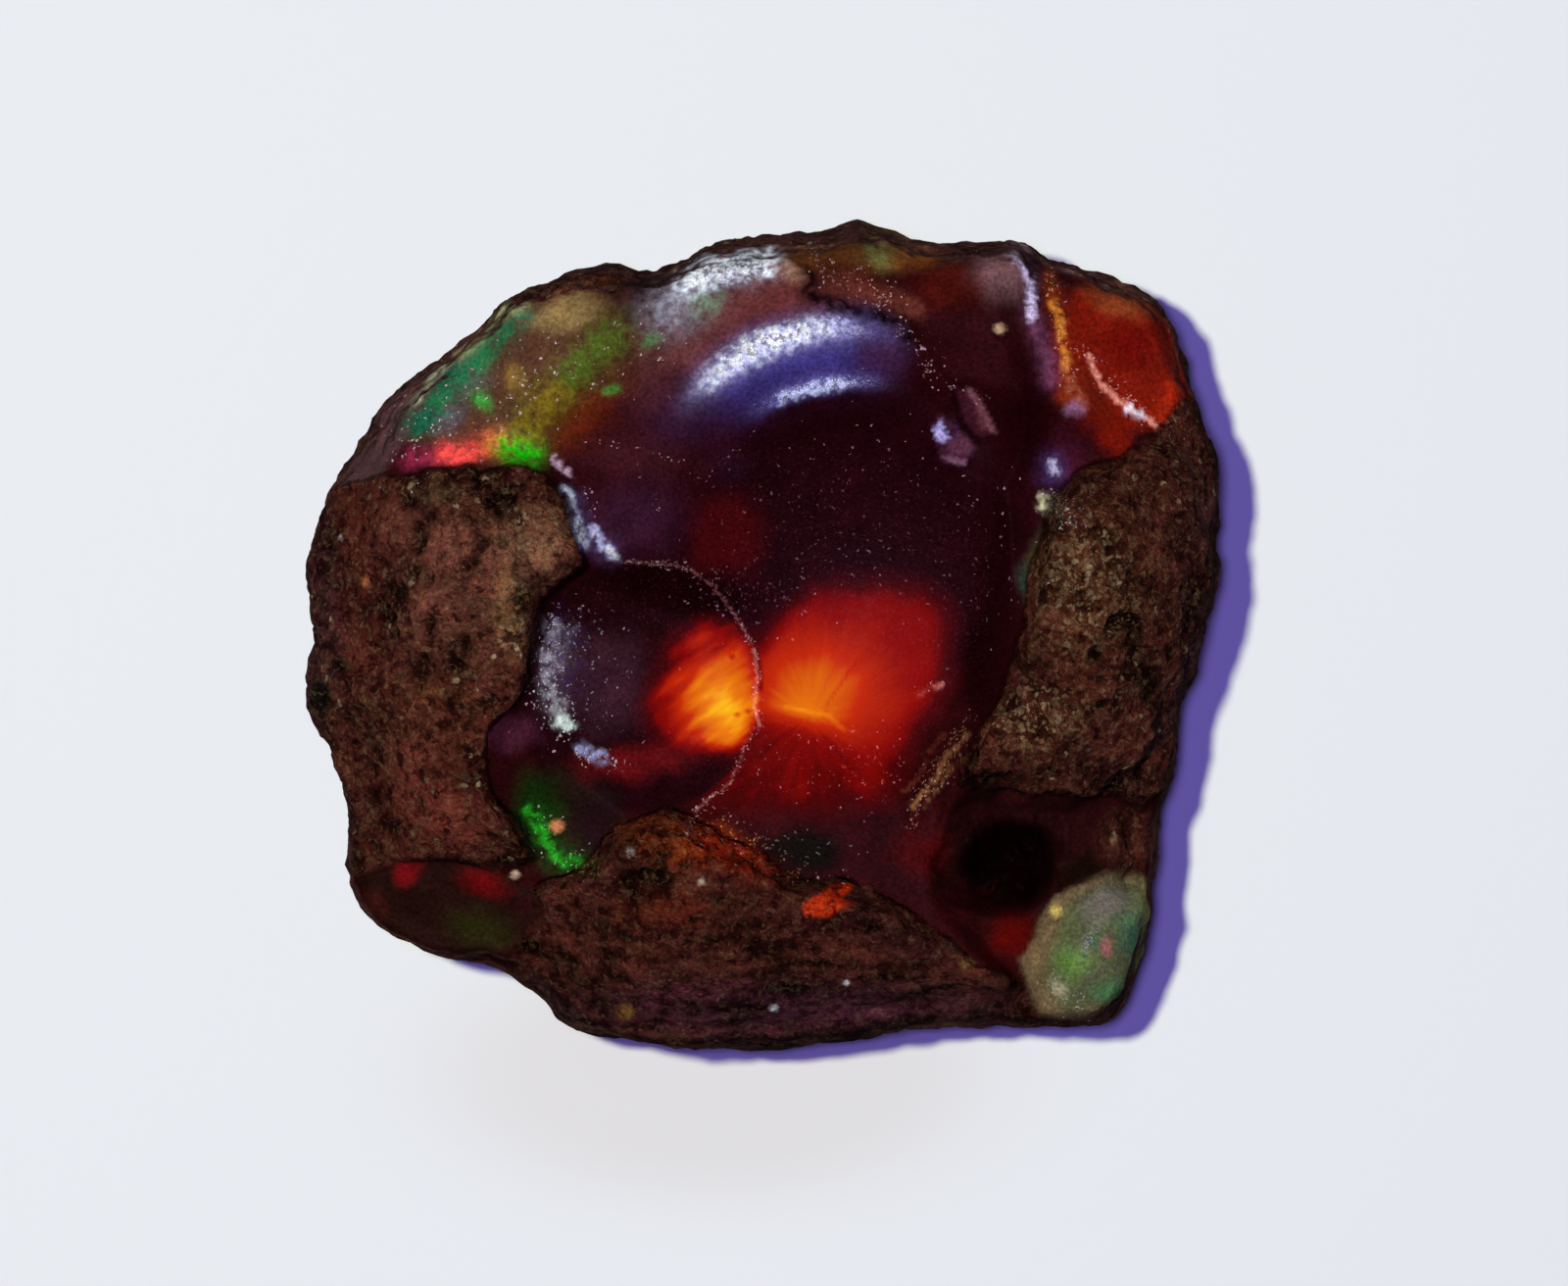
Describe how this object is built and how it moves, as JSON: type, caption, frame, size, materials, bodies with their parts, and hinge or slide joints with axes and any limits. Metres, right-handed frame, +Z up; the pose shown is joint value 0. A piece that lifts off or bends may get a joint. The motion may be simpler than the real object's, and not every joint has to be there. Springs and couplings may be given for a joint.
{
  "type": "rough opal nodule",
  "caption": "Broken rounded nodule of dark red-brown translucent opal in rough brown host rock, with a wide shell-shaped hollow on its face.",
  "frame": {"origin": "centre of the stone's box in plan, at the flat facet that it rests on", "axes": "+Z up out of the broken face, +X along the longest extent, +Y to the back, as the picture shows the stone from above"},
  "size_m": [0.0318, 0.0292, 0.0146],
  "materials": {
    "opal": "glassy dark red-brown opal on the broken face, dull brown rock where the host rock is left"
  },
  "bodies": {
    "root": {"opal_nodule": "opal"}
  },
  "joints": []
}
